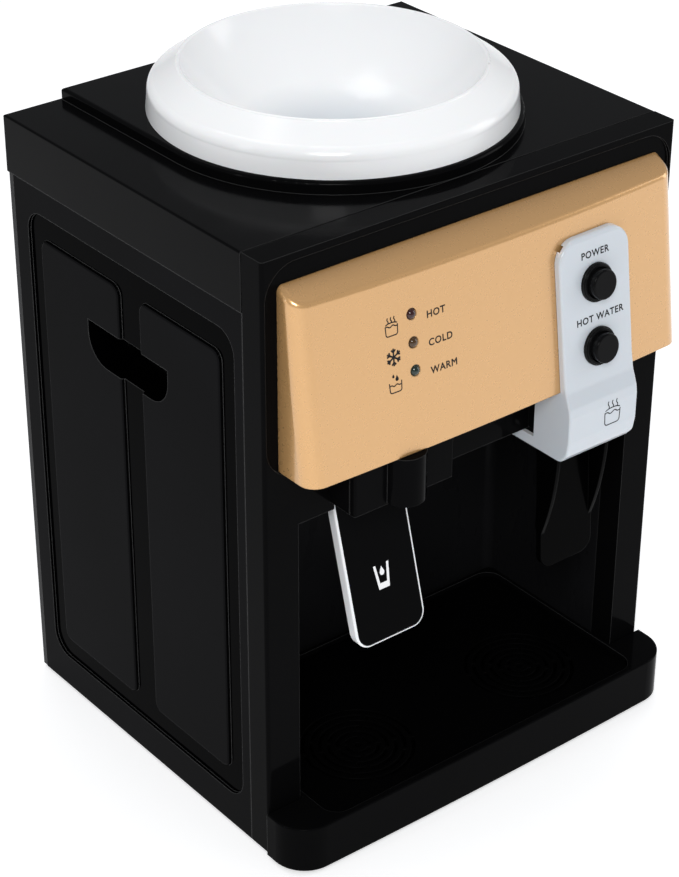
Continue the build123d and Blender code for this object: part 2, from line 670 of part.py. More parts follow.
# ---- bottle seat --------------------------------------------------------------------------------
def seat_outline():
    """Half section of the seat on the XZ plane: a hollow crown, a bowl and the neck's well."""
    foot_z = HEIGHT + PLATFORM_H + 0.2
    floor_z = WELL_FLOOR_Z + SEAT_WALL
    crown_foot, crown_top = (99.8, SEAT_TOP_Z - 9.7), (87.6, SEAT_TOP_Z - 0.9)
    bowl_top, bowl_foot = (84.9, SEAT_TOP_Z - 1.0), (48.0, 371.8)
    neck_top, neck_back = (NECK_R, 349.0), (NECK_R + SEAT_WALL, 350.2)
    bowl_back, ridge = (49.5, 369.4), (86.6, SEAT_TOP_Z - 3.7)
    skirt = (89.0, 91.6)
    outside = [
        Polyline(*upright([(SEAT_R, foot_z), (103.9, 393.5)])),
        ThreePointArc(*upright([(103.9, 393.5), (102.9, 397.9), crown_foot])),
        Polyline(*upright([crown_foot, crown_top])),
        ThreePointArc(*upright([crown_top, (86.2, SEAT_TOP_Z), bowl_top])),
        ThreePointArc(*upright([bowl_top, (68.5, 388.5), bowl_foot])),
        ThreePointArc(*upright([bowl_foot, (36.3, 361.4), neck_top])),
    ]
    well = [neck_top, (NECK_R, floor_z), (SPOUT_R - 2, floor_z), (SPOUT_R - 2, 309.0), (SPOUT_R, 309.0)]
    well += [(SPOUT_R, WELL_FLOOR_Z), (NECK_R + SEAT_WALL, WELL_FLOOR_Z), neck_back]
    inside = [
        ThreePointArc(*upright([neck_back, (38.4, 360.2), bowl_back])),
        ThreePointArc(*upright([bowl_back, (70.5, 386.5), ridge])),
    ]
    under = [ridge, (skirt[0], SEAT_TOP_Z - 5.4), (skirt[0], 378.0), (skirt[1], 378.0)]
    under += [(skirt[1], SEAT_TOP_Z - 7.3), (98.2, 398.3), (101.2, 393.2), (102.0, foot_z), (SEAT_R, foot_z)]
    outline = Polyline(*upright(well)) + Polyline(*upright(under))
    for line in outside + inside:
        outline += line
    return make_face(outline)


def upright(points):
    """(radius, z) points on the XZ plane."""
    return [(r, 0, z) for r, z in points]


def bottle_seat():
    return Pos(0, SEAT_Y, 0) * revolve(seat_outline(), Axis.Z)


def bottle_probe():
    """Hollow post in the well that opens the bottle's cap, with side windows."""
    z = (WELL_FLOOR_Z + 3.2, WELL_FLOOR_Z + 34.0)
    post = rod_z(0, SEAT_Y, z, 8.0)
    post = soften(post, post.edges().group_by(Axis.Z)[-1], 3.0)
    foot = rod_z(0, SEAT_Y, (z[0], z[0] + 2.5), 13.0)
    post += foot
    post -= rod_z(0, SEAT_Y, (z[0] - 1, z[1] - 3), 6.0)
    for angle in (0, 90):
        post -= Pos(0, SEAT_Y, z[0] + 16) * Rot(0, 0, angle) * Box(30, 5, 14)
    return post


def inlet_gasket():
    ring = rod_z(0, SEAT_Y, (317.0, 321.6), 17.0) - rod_z(0, SEAT_Y, (316, 323), 12.0)
    return soften(ring, ring.edges().group_by(Axis.Z)[-1], 0.8)


# ---- cooling ------------------------------------------------------------------------------------
def cold_tank():
    """Steel tank with a neck that takes the seat's spout."""
    z0, z1 = TANK_Z
    tank = rod_z(0, TANK_Y, (z0, z1), TANK_R)
    tank = soften(tank, tank.edges(), 4.0)
    hollow = rod_z(0, TANK_Y, (z0 + 1.5, z1 - 1.5), TANK_R - 1.5)
    tank -= soften(hollow, hollow.edges(), 2.5)
    neck = rod_z(0, SEAT_Y, (z1 - 1, 316.8), 14.5)
    tank += neck
    tank -= rod_z(0, SEAT_Y, (z1 - 5, 318), 11.6)
    tank -= rod_y(COLD_X + 30, (40, 100), SHANK_Z + 4, HOSE_R)
    return tank


def tank_insulation():
    """Foam jacket, open in front of the cooling block."""
    z0, z1 = TANK_Z
    jacket = rod_z(0, TANK_Y, (z0, z1 - 4), 66.0) - rod_z(0, TANK_Y, (z0 - 1, z1), TANK_R + 0.4)
    jacket -= block(span(0, 25.0), (TANK_Y, 200), span(COOLER_Z, 25.0))
    jacket -= rod_y(COLD_X + 30, (40, 100), SHANK_Z + 4, HOSE_R + 0.6)
    return jacket


def cold_block():
    block_ = block(span(0, 22.0), (160.0, 190.0), span(COOLER_Z, 22.0))
    return block_ - rod_z(0, TANK_Y, (240, 310), TANK_R + 0.2)


def tec_module():
    return block(span(0, 20.0), (190.1, 193.9), span(COOLER_Z, 20.0))


def heat_sink():
    half = 42.0
    sink = block(span(0, half), (194.0, 199.0), span(COOLER_Z, half))
    count = 15
    for n in range(count):
        x = -half + 0.9 + n * (2 * half - 1.8) / (count - 1)
        sink += block(span(x, 0.9), (198.5, 214.0), span(COOLER_Z, half))
    return sink


def fan_frame():
    y, half = (214.4, 229.4), 40.0
    frame = plate_xz(span(0, half), span(COOLER_Z, half), y, 4.0)
    frame -= rod_y(0, (y[0] - 1, y[1] + 1), COOLER_Z, 37.5)
    hub = rod_y(0, (y[1] - 3, y[1]), COOLER_Z, 13.0)
    for angle in (0, 120, 240):
        arm = block((10, 39), (y[1] - 3, y[1]), (-2, 2))
        hub += Pos(0, 0, COOLER_Z) * Rot(0, angle + 30, 0) * arm
    axle = rod_y(0, (y[0] + 2, y[1]), COOLER_Z, 1.5)
    return frame + hub + axle


def fan_rotor():
    y = (214.9, 225.6)
    rotor = rod_y(0, y, COOLER_Z, 13.5)
    for n in range(7):
        blade = Pos(24.5, 220.2, 0) * Rot(38, 0, 0) * Box(23.5, 1.6, 10.5)
        rotor += Pos(0, 0, COOLER_Z) * Rot(0, 360 / 7 * n, 0) * blade
    rotor &= rod_y(0, y, COOLER_Z, 35.5)
    return rotor - rod_y(0, (210, 230), COOLER_Z, 1.56)


# ---- heating, board and hoses -------------------------------------------------------------------
def hot_tank():
    x, y = HOT_TANK
    z0, z1 = HOT_TANK_Z
    tank = rod_z(x, y, (z0, z1), HOT_TANK_R)
    tank = soften(tank, tank.edges(), 6.0)
    hollow = rod_z(x, y, (z0 + 1.2, z1 - 1.2), HOT_TANK_R - 1.2)
    return tank - soften(hollow, hollow.edges(), 4.8)


def heater_band():
    x, y = HOT_TANK
    band = rod_z(x, y, (96.0, 140.0), HOT_TANK_R + 3.0) - rod_z(x, y, (95, 141), HOT_TANK_R + 0.2)
    lug = block(span(x - HOT_TANK_R - 6, 5), span(y, 5), (106.0, 130.0))
    return band + (lug - rod_z(x, y, (95, 141), HOT_TANK_R + 0.2))


def thermostats():
    x, y = HOT_TANK
    discs = []
    for dx in (-16.0, 16.0):
        disc = rod_z(x + dx, y + 8, (HOT_TANK_Z[1] + 0.2, HOT_TANK_Z[1] + 6), 8.0)
        cap = rod_z(x + dx, y + 8, (HOT_TANK_Z[1] + 6, HOT_TANK_Z[1] + 12), 5.5)
        discs.append(disc + cap)
    return discs


def tank_bracket():
    """Steel saddle under the hot tank, standing on the base plate."""
    x, y = HOT_TANK
    saddle = rod_z(x, y, (HOT_TANK_Z[0] - 2.0, HOT_TANK_Z[0] + 8), HOT_TANK_R + 2.0)
    saddle -= rod_z(x, y, (HOT_TANK_Z[0] - 0.2, HOT_TANK_Z[0] + 9), HOT_TANK_R + 0.2)
    saddle -= rod_z(x, y, (HOT_TANK_Z[0] - 5, HOT_TANK_Z[0] + 9), 27.0)
    for side in (-1, 1):
        leg_y = sorted((y + side * (HOT_TANK_R - 4), y + side * (HOT_TANK_R + 1)))
        saddle += block(span(x, 12), leg_y, (BASE_T + 0.2, HOT_TANK_Z[0] - 1.0))
    return saddle


def power_board():
    board = block(BOARD_X, (BOARD_Y, BOARD_Y + 1.6), BOARD_Z)
    for x, z in BOARD_HOLES:
        board -= rod_y(x, (BOARD_Y - 1, BOARD_Y + 3), z, 1.7)
    return board


def transformer():
    core = block(span(-98.0, 14), (BOARD_Y - 28, BOARD_Y - 0.1), span(98.0, 18))
    return core + block(span(-98.0, 18), (BOARD_Y - 22, BOARD_Y - 6), span(98.0, 13))


def board_parts():
    """Capacitors, relays and the terminal strip on the power board."""
    parts = [rod_y(x, (BOARD_Y - 18, BOARD_Y - 0.1), z, 6.0) for x, z in ((-70, 110), (-54, 110), (-70, 92))]
    parts += [block(span(x, 8), (BOARD_Y - 15, BOARD_Y - 0.1), span(74, 6)) for x in (-70, -50)]
    parts.append(block(span(-42, 5), (BOARD_Y - 11, BOARD_Y - 0.1), span(104, 18)))
    return parts


def board_standoffs():
    return [rod_y(x, (BOARD_Y + 1.7, DEPTH - 3.1), z, 3.5) for x, z in BOARD_HOLES]


def hose(points, radii):
    """Round tube of soft silicone along straight runs joined by arcs."""
    path = FilletPolyline(*points, radius=radii)
    start = Plane(path @ 0, z_dir=path % 0)
    outer = sweep(start * Circle(HOSE_R), path=path)
    bore = sweep(start * Circle(HOSE_R - 1.2), path=path)
    return outer - bore


def cold_hose():
    x, z = COLD_X + 30, SHANK_Z + 4
    return hose([(COLD_X, 24.0, SHANK_Z), (COLD_X, 42.0, SHANK_Z), (x, 56.0, z), (x, 79.0, z)], 10.0)


def hot_hose():
    x, y = HOT_TANK
    top = 226.0
    rise = [(x, y, HOT_TANK_Z[1] + 0.2), (x, y, top), (x, 62.0, top)]
    run = [(HOT_X, 42.0, SHANK_Z), (HOT_X, 24.0, SHANK_Z)]
    return hose(rise + run, 12.0)


def feed_hose():
    x, y = HOT_TANK
    low = 46.0
    points = [(-10.0, 150.0, TANK_Z[0] - 0.2), (-10.0, 150.0, low), (x, y, low), (x, y, HOT_TANK_Z[0] - 0.2)]
    return hose(points, 12.0)


def drain_hose():
    x, y = HOT_TANK[0] + 17.0, HOT_TANK[1] + 14.0
    points = [(x, y, HOT_TANK_Z[0] - 0.2), (x, y, DRAIN_STUB[1]), (x, 224.0, DRAIN_STUB[1])]
    return hose(points, 14.0)


def drain_stub():
    """Socket in the back cover that the drain hose ends in."""
    x, z = DRAIN_STUB
    stub = rod_y(x, (224.2, DEPTH - 0.4), z, 11.8) - rod_y(x, (231.0, DEPTH + 1), z, 9.0)
    return stub - rod_y(x, (220, 240), z, 3.0)


def drain_plug():
    """Pull-out plug with a finger tab, level with the cover."""
    x, z = DRAIN_STUB
    plug = rod_y(x, (231.4, DEPTH - 4.0), z, 8.6)
    tab = block(span(x, 6.0), (DEPTH - 4.2, DEPTH - 0.4), span(z, 1.5))
    return plug + tab


def cord_gland():
    """Bush for the mains lead, with a flange inside the cover."""
    x, z = GLAND
    bush = rod_y(x, (DEPTH - 9.0, DEPTH - 0.1), z, 5.9) + rod_y(x, (DEPTH - 9.0, DEPTH - 3.2), z, 8.5)
    return bush - rod_y(x, (DEPTH - 20, DEPTH + 1), z, 3.6)


def build():
    os.makedirs("parts", exist_ok=True)
    save("front_frame", front_frame())
    save("alcove_liner", alcove_liner())
    left = side_panel()
    save("left_side_panel", left)
    save("right_side_panel", mirrored(left))
    save("top_cover", top_cover())
    save("back_cover", back_cover())
    save("cover_screws", *cover_screws())
    save("base_plate", base_plate())
    save("rubber_feet", *rubber_feet())

    save("fascia_panel", fascia_panel())
    for name, z in zip(("hot", "cold", "warm"), LED_Z):
        save("led_lens_" + name, led_lens(z))
    save("indicator_board", indicator_board())
    save("control_box", control_box())
    for name, z in zip(("power", "hot_water"), BUTTON_Z):
        save(name + "_button", push_button(z))
    save("button_bezels", *[button_bezel(z) for z in BUTTON_Z])
    save("push_switches", *[switch_body(z) for z in BUTTON_Z])

    save("cold_tap_housing", cold_tap_housing())
    save("cold_tap_front", cold_tap_front())
    save("cold_nozzle", nozzle(COLD_X, NOZZLE_Y, (217.0, 237.0), NOZZLE_R))
    save("cold_shank", cold_shank())
    save("cold_lever", cold_lever())
    save("cold_lever_face", cold_lever_face())
    save("hot_tap_housing", hot_tap_housing())
    save("hot_nozzle", nozzle(HOT_X, -22.6, (209.0, 240.0), 5.2))
    save("hot_shank", hot_shank())
    save("hot_lever", hot_lever())
    save("lever_pins", lever_pin(COLD_X, 30.2, COLD_PIVOT), lever_pin(HOT_X, 22.3, HOT_PIVOT))
    save("lever_springs", lever_spring(COLD_X + 23.1, COLD_PIVOT), lever_spring(HOT_X + 16.1, HOT_PIVOT))
    save("shank_nuts", lock_nut(COLD_X), lock_nut(HOT_X))

    save("drip_tray", drip_tray())
    save("tray_grate", tray_grate())

    save("bottle_seat", bottle_seat())
    save("bottle_probe", bottle_probe())
    save("inlet_gasket", inlet_gasket())
    save("cold_tank", cold_tank())
    save("tank_insulation", tank_insulation())
    save("cold_block", cold_block())
    save("tec_module", tec_module())
    save("heat_sink", heat_sink())
    save("fan_frame", fan_frame())
    save("fan_rotor", fan_rotor())

    save("hot_tank", hot_tank())
    save("heater_band", heater_band())
    save("thermostats", *thermostats())
    save("tank_bracket", tank_bracket())
    save("power_board", power_board())
    save("transformer", transformer())
    save("board_parts", *board_parts())
    save("board_standoffs", *board_standoffs())
    save("cold_hose", cold_hose())
    save("hot_hose", hot_hose())
    save("feed_hose", feed_hose())
    save("drain_hose", drain_hose())
    save("drain_stub", drain_stub())
    save("drain_plug", drain_plug())
    save("cord_gland", cord_gland())


build()
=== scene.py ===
import json
import math

import bpy
from mathutils import Matrix, Vector
from mathutils.bvhtree import BVHTree


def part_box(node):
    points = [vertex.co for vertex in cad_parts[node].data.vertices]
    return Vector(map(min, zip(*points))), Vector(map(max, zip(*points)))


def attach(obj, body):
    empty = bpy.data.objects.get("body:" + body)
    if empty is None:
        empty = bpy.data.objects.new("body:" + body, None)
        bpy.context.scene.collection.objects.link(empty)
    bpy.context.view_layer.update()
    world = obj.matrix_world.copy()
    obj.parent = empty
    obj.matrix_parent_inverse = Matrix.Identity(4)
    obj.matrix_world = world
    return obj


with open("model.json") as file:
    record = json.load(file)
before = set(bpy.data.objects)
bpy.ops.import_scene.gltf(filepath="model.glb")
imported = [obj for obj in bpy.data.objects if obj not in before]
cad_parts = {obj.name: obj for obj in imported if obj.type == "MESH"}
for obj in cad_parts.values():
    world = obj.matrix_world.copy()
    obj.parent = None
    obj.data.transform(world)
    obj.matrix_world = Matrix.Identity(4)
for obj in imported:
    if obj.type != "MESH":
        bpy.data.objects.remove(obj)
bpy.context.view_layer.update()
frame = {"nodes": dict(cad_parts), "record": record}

# Countertop water dispenser: materials, printed marks, floor, light and camera.
# Metres throughout, in the frame's own axes: +Z up, -Y towards the user.

NODES = frame["nodes"]
MM = 0.001

# ---- driving values -----------------------------------------------------------------------------
CAMERA_AIM = Vector((-0.0146, -0.0006, 0.1846))
CAMERA_DISTANCE = 1.45
CAMERA_AZIMUTH = math.radians(-38.73)
CAMERA_ELEVATION = math.radians(30.56)
CAMERA_ROLL = math.radians(0.20)
CAMERA_LENS = 100.7

INK_LIFT = 0.03 * MM  # printed marks stand this far off the surface
RAY_RUN_UP = 50.0 * MM  # rays that find a surface start this far in front of its node
LABEL_HEIGHT = 3.9 * MM  # height of the capitals
CAPITAL_SHARE = 0.7  # capitals are this share of the built-in font's size
LETTER_SPACING = 1.12
LETTER_BOLDNESS = 0.13 * MM  # how far the letters' strokes are thickened on each side
ICON_LINE = 0.52  # widths of the icons' strokes in millimetres, before they are enlarged
FLAKE_LINE = 0.85
BOX_ICON_LINE = 0.36

EDGE_HIGHLIGHT_AND_WEAR = 0.045  # how much paler the moulded edges are painted: mostly a painted highlight, partly rub marks
SIDE_SHADED_BAND = 144.5 * MM  # painted shade: the side panels are painted darker nearer to the middle plane than this, in their recessed band
SEAT_SHADE = (334.0 * MM, 378.0 * MM)  # painted shade: the seat is painted blue-grey from the upper height to the lower, deep in its hollow


# ---- shader building blocks ---------------------------------------------------------------------
class Shader:
    """A Principled material with a few procedural helpers."""

    def __init__(self, name, **values):
        self.material = bpy.data.materials.new(name)
        self.material.use_nodes = True
        self.tree = self.material.node_tree
        self.surface = self.tree.nodes["Principled BSDF"]
        self.coords = self.tree.nodes.new("ShaderNodeTexCoord").outputs["Object"]
        for key, value in values.items():
            self.surface.inputs[key.replace("_", " ")].default_value = value

    def put(self, socket, value):
        """Wire another node's output to a socket, or set the socket to a plain value."""
        if isinstance(value, bpy.types.NodeSocket):
            self.tree.links.new(value, socket)
        else:
            socket.default_value = value

    def node(self, kind, **inputs):
        made = self.tree.nodes.new(kind)
        for key, value in inputs.items():
            self.put(made.inputs[key.replace("_", " ")], value)
        return made

    def stretched(self, scale):
        return self.node("ShaderNodeMapping", Vector=self.coords, Scale=scale).outputs[0]

    def noise(self, scale, detail=3.0, stretch=None, distortion=0.0):
        where = self.stretched(stretch) if stretch else self.coords
        made = self.node("ShaderNodeTexNoise", Vector=where, Scale=scale, Detail=detail)
        made.inputs["Distortion"].default_value = distortion
        return made.outputs["Fac"]

    def cells(self, scale, output="Distance", stretch=None):
        where = self.stretched(stretch) if stretch else self.coords
        return self.node("ShaderNodeTexVoronoi", Vector=where, Scale=scale).outputs[output]

    def ranged(self, value, low, high, out_low, out_high):
        made = self.node("ShaderNodeMapRange", Value=value)
        for index, number in enumerate((low, high, out_low, out_high), start=1):
            made.inputs[index].default_value = number
        return made.outputs[0]

    def mixed(self, fac, a, b):
        made = self.tree.nodes.new("ShaderNodeMix")
        made.data_type = "RGBA"
        for index, value in ((0, fac), (6, a), (7, b)):
            self.put(made.inputs[index], value)
        return made.outputs[2]

    def maths(self, a, b, operation):
        made = self.tree.nodes.new("ShaderNodeMath")
        made.operation = operation
        self.put(made.inputs[0], a)
        self.put(made.inputs[1], b)
        return made.outputs[0]

    def rounding(self, radius):
        """Normals softened at sharp edges, and how much of an edge each point is."""
        soft = self.tree.nodes.new("ShaderNodeBevel")
        soft.samples = 6
        soft.inputs["Radius"].default_value = radius
        flat = self.tree.nodes.new("ShaderNodeNewGeometry").outputs["Normal"]
        product = self.tree.nodes.new("ShaderNodeVectorMath")
        product.operation = "DOT_PRODUCT"
        self.tree.links.new(soft.outputs[0], product.inputs[0])
        self.tree.links.new(flat, product.inputs[1])
        return soft.outputs[0], self.ranged(product.outputs["Value"], 0.80, 0.99, 1.0, 0.0)

    def bump(self, height, distance, strength=1.0, normal=None):
        made = self.node("ShaderNodeBump", Height=height, Strength=strength, Distance=distance)
        if normal:
            self.tree.links.new(normal, made.inputs["Normal"])
        self.tree.links.new(made.outputs[0], self.surface.inputs["Normal"])

    def feed(self, socket, value):
        self.tree.links.new(value, self.surface.inputs[socket])


def rgb(red, green, blue):
    return (red, green, blue, 1.0)


# ---- materials ----------------------------------------------------------------------------------
def gloss_black(name, base=0.002, rough=(0.06, 0.13), specular=0.016, paling=EDGE_HIGHLIGHT_AND_WEAR, sunk=None):
    """Polished moulded plastic: flow marks, orange peel, handling haze, and edges painted paler as a
    painted highlight with a few rub marks.

    sunk is the distance from the middle plane inside which the surface is painted darker: painted shade in
    the recessed band.
    """
    s = Shader(name, Specular_IOR_Level=specular, IOR=1.46)
    flow = s.noise(9.0, 4.0, distortion=0.6)
    haze = s.noise(60.0, 5.0, stretch=(1.0, 1.0, 0.35))
    soft, edge = s.rounding(0.7 * MM)
    body = s.mixed(flow, rgb(base, base, base), rgb(base * 1.5, base * 1.5, base * 1.7))
    # painted shade: the recessed band nearer the middle plane is painted darker
    if sunk:
        across = s.node("ShaderNodeSeparateXYZ", Vector=s.coords).outputs[0]
        inside = s.maths(s.maths(across, 0.0, "ABSOLUTE"), sunk, "LESS_THAN")
        body = s.mixed(inside, body, rgb(0.0004, 0.0004, 0.0005))
    # painted highlight, partly rub marks: the moulded edges are painted paler
    highlit_rubbed_edge = rgb(base + paling, base + paling, base + paling)
    s.feed("Base Color", s.mixed(edge, body, highlit_rubbed_edge))
    s.feed("Roughness", s.ranged(haze, 0.3, 0.7, *rough))
    s.bump(s.noise(420.0, 2.0), 0.02 * MM, 0.35, soft)
    return s.material


def satin_black(name):
    """Spark-eroded grain on the covers that face away from the user."""
    s = Shader(name, Specular_IOR_Level=0.2)
    grain = s.noise(2600.0, 3.0)
    paling = s.noise(14.0, 4.0)
    s.feed("Base Color", s.mixed(paling, rgb(0.006, 0.006, 0.007), rgb(0.011, 0.011, 0.012)))
    s.feed("Roughness", s.ranged(grain, 0.3, 0.7, 0.42, 0.58))
    s.bump(grain, 0.05 * MM, 0.6)
    return s.material


def champagne(name):
    """Lacquer with fine metal flake under a clear coat."""
    s = Shader(name, Metallic=0.5, Coat_Weight=0.9, Coat_Roughness=0.03, Specular_IOR_Level=0.5)
    flake = s.cells(5200.0, "Color")
    spark = s.node("ShaderNodeSeparateColor", Color=flake).outputs[0]
    drift = s.noise(7.0, 3.0)
    body = s.mixed(drift, rgb(0.605, 0.340, 0.132), rgb(0.635, 0.360, 0.140))
    s.feed("Base Color", s.mixed(s.ranged(spark, 0.0, 1.0, 0.0, 0.12), body, rgb(0.80, 0.50, 0.24)))
    s.feed("Roughness", s.ranged(s.noise(260.0, 3.0), 0.3, 0.7, 0.27, 0.285))
    s.bump(s.noise(120.0, 1.0), 0.002 * MM, 0.1, s.rounding(0.8 * MM)[0])
    return s.material


def gloss_white(name, low, high, rough=(0.12, 0.22), depth=None):
    """Milky moulded plastic; depth is a pair of heights between which it is painted blue-grey, a painted
    shade for its deep hollow.
    """
    s = Shader(name, Specular_IOR_Level=0.5, Subsurface_Weight=0.04, Subsurface_Scale=2 * MM)
    drift = s.noise(11.0, 4.0)
    body = s.mixed(drift, low, high)
    # painted shade: going down from the upper height to the lower, the surface fades to blue-grey
    if depth:
        height = s.node("ShaderNodeSeparateXYZ", Vector=s.coords).outputs[2]
        body = s.mixed(s.ranged(height, *depth, 1.0, 0.0), body, rgb(0.33, 0.40, 0.47))
    s.feed("Base Color", body)
    s.feed("Roughness", s.ranged(s.noise(70.0, 5.0), 0.3, 0.7, *rough))
    s.bump(s.noise(380.0, 2.0), 0.015 * MM, 0.4)
    return s.material


def tinted_lens(name, colour):
    s = Shader(name, Transmission_Weight=0.1, IOR=1.49, Coat_Weight=0.25, Coat_Roughness=0.03)
    swirl = s.noise(900.0, 3.0, distortion=1.5)
    deep = rgb(*[0.35 * part for part in colour])
    s.feed("Base Color", s.mixed(swirl, deep, rgb(*colour)))
    s.feed("Roughness", s.ranged(swirl, 0.3, 0.7, 0.05, 0.14))
    return s.material


def rubber(name):
    s = Shader(name, Specular_IOR_Level=0.3)
    grain = s.noise(1500.0, 4.0)
    s.feed("Base Color", s.mixed(s.noise(40.0), rgb(0.012, 0.012, 0.012), rgb(0.0264, 0.0264, 0.0252)))
    s.feed("Roughness", s.ranged(grain, 0.3, 0.7, 0.65, 0.85))
    s.bump(grain, 0.08 * MM, 0.7)
    return s.material


def silicone(name):
    s = Shader(name, Subsurface_Weight=0.35, Subsurface_Scale=4 * MM, Transmission_Weight=0.15, IOR=1.41)
    cloud = s.noise(90.0, 3.0)
    s.feed("Base Color", s.mixed(cloud, rgb(0.66, 0.68, 0.67), rgb(0.78, 0.79, 0.77)))
    s.feed("Roughness", s.ranged(s.noise(500.0), 0.3, 0.7, 0.35, 0.5))
    s.bump(s.noise(700.0, 2.0), 0.03 * MM, 0.4)
    return s.material


def brushed_metal(name, low, high, stretch, rough=(0.22, 0.42)):
    """Metal with fine lines; stretch says which way they run."""
    s = Shader(name, Metallic=1.0, Anisotropic=0.4)
    lines = s.noise(900.0, 4.0, stretch=stretch)
    stain = s.noise(18.0, 4.0)
    s.feed("Base Color", s.mixed(s.maths(lines, stain, "MULTIPLY"), low, high))
    s.feed("Roughness", s.ranged(lines, 0.3, 0.7, *rough))
    s.bump(lines, 0.02 * MM, 0.5)
    return s.material


def foam(name):
    s = Shader(name, Specular_IOR_Level=0.2)
    cell = s.cells(900.0)
    s.feed("Base Color", s.mixed(cell, rgb(0.05, 0.05, 0.055), rgb(0.13, 0.13, 0.135)))
    s.feed("Roughness", s.ranged(cell, 0.0, 0.6, 0.95, 0.8))
    s.bump(cell, 0.3 * MM, 0.9)
    return s.material


def ceramic(name):
    s = Shader(name, Specular_IOR_Level=0.35)
    grain = s.noise(1200.0, 5.0)
    s.feed("Base Color", s.mixed(s.noise(80.0), rgb(0.62, 0.61, 0.57), rgb(0.76, 0.75, 0.71)))
    s.feed("Roughness", s.ranged(grain, 0.3, 0.7, 0.5, 0.7))
    s.bump(grain, 0.03 * MM, 0.5)
    return s.material


def circuit_green(name):
    """Solder resist over copper tracks that run up and across the board."""
    s = Shader(name, Coat_Weight=0.3, Coat_Roughness=0.1)
    across = s.cells(260.0, "Color", stretch=(0.18, 1.0, 1.0))
    upward = s.cells(260.0, "Color", stretch=(1.0, 1.0, 0.18))
    track = s.node("ShaderNodeSeparateColor", Color=s.mixed(0.5, across, upward)).outputs[0]
    mask = s.ranged(track, 0.52, 0.56, 0.0, 1.0)
    s.feed("Base Color", s.mixed(mask, rgb(0.008, 0.055, 0.022), rgb(0.03, 0.14, 0.05)))
    s.feed("Roughness", s.ranged(mask, 0.0, 1.0, 0.35, 0.25))
    s.bump(mask, 0.04 * MM, 0.5)
    return s.material


def moulded_black(name):
    s = Shader(name, Specular_IOR_Level=0.4)
    grain = s.noise(1800.0, 3.0)
    s.feed("Base Color", s.mixed(s.noise(30.0), rgb(0.012, 0.012, 0.013), rgb(0.022, 0.022, 0.024)))
    s.feed("Roughness", s.ranged(grain, 0.3, 0.7, 0.35, 0.5))
    s.bump(grain, 0.03 * MM, 0.5)
    return s.material


def ink(name, low, high):
    """Pad-printed ink with the slight speckle of the pad."""
    s = Shader(name, Specular_IOR_Level=0.15)
    speck = s.noise(2500.0, 3.0)
    s.feed("Base Color", s.mixed(speck, low, high))
    s.feed("Roughness", s.ranged(speck, 0.3, 0.7, 0.45, 0.6))
    s.bump(speck, 0.005 * MM, 0.4)
    return s.material


SLOT_MATERIALS = {
    "black_gloss": gloss_black("black_gloss"),
    "black_satin": satin_black("black_satin"),
    "champagne": champagne("champagne"),
    "white_gloss": gloss_white("white_gloss", rgb(0.86, 0.87, 0.89), rgb(0.90, 0.91, 0.925)),
    "button_black": gloss_black("button_black", 0.003, (0.08, 0.14), 0.07, 0.02),
    "led_red": tinted_lens("led_red", (0.05, 0.004, 0.003)),
    "led_amber": tinted_lens("led_amber", (0.09, 0.04, 0.006)),
    "led_green": tinted_lens("led_green", (0.008, 0.03, 0.02)),
    "rubber": rubber("rubber"),
    "silicone": silicone("silicone"),
    "steel": brushed_metal("steel", rgb(0.42, 0.43, 0.44), rgb(0.68, 0.69, 0.70), (1.0, 1.0, 0.04)),
    "zinc": brushed_metal(
        "zinc", rgb(0.50, 0.50, 0.47), rgb(0.74, 0.74, 0.72), (1.0, 0.3, 1.0), (0.28, 0.45)
    ),
    "aluminium": brushed_metal("aluminium", rgb(0.60, 0.61, 0.62), rgb(0.82, 0.83, 0.84), (1.0, 1.0, 0.03)),
    "brass": brushed_metal("brass", rgb(0.52, 0.36, 0.12), rgb(0.80, 0.60, 0.26), (1.0, 0.05, 1.0)),
    "foam": foam("foam"),
    "ceramic": ceramic("ceramic"),
    "circuit": circuit_green("circuit"),
    "parts_black": moulded_black("parts_black"),
}
# Side panels: the recessed band is painted darker as painted shade, and the edges get a stronger painted
# highlight.
SIDE_BLACK = gloss_black("side_black", 0.0045, (0.06, 0.12), 0.008, 0.07, sunk=SIDE_SHADED_BAND)
NODE_MATERIALS = {
    "control_box": gloss_white("box_white", rgb(0.55, 0.59, 0.635), rgb(0.58, 0.62, 0.665)),
    "left_side_panel": SIDE_BLACK,
    "right_side_panel": SIDE_BLACK,
    "alcove_liner": gloss_black("liner_black", 0.007, (0.25, 0.35), 0.06, 0.01),
    # painted shade: the hot lever is a darker copy of the gloss black with almost no pale edge, for the
    # shade it sits in behind the control box
    "hot_lever": gloss_black("lever_black_shaded", 0.0006, (0.12, 0.2), 0.015, 0.004),
    "tray_grate": gloss_black("grate_black", 0.0010, (0.3, 0.4), 0.02, 0.002),
    "bottle_seat": gloss_white(
        "seat_white", rgb(0.86, 0.865, 0.875), rgb(0.895, 0.90, 0.905), depth=SEAT_SHADE
    ),
    "top_cover": gloss_black("cover_black", 0.002, (0.10, 0.18), 0.03),
}
BLACK_INK = ink("black_ink", rgb(0.004, 0.004, 0.005), rgb(0.012, 0.012, 0.014))
WHITE_INK = ink("white_ink", rgb(0.82, 0.83, 0.84), rgb(0.92, 0.92, 0.93))


def dress_nodes():
    """Give every CAD node its own material, or else the one of its slot."""
    for part in frame["record"]["subparts"]:
        material = NODE_MATERIALS.get(part["node"], SLOT_MATERIALS[part["material_slot"]])
        for place in NODES[part["node"]].material_slots:
            place.material = material


# ---- printed marks ------------------------------------------------------------------------------
def front_surface(node):
    """The node's mesh as a tree that rays from the front can hit."""
    mesh = NODES[node].data
    points = [v.co.copy() for v in mesh.vertices]
    return BVHTree.FromPolygons(points, [tuple(p.vertices) for p in mesh.polygons])


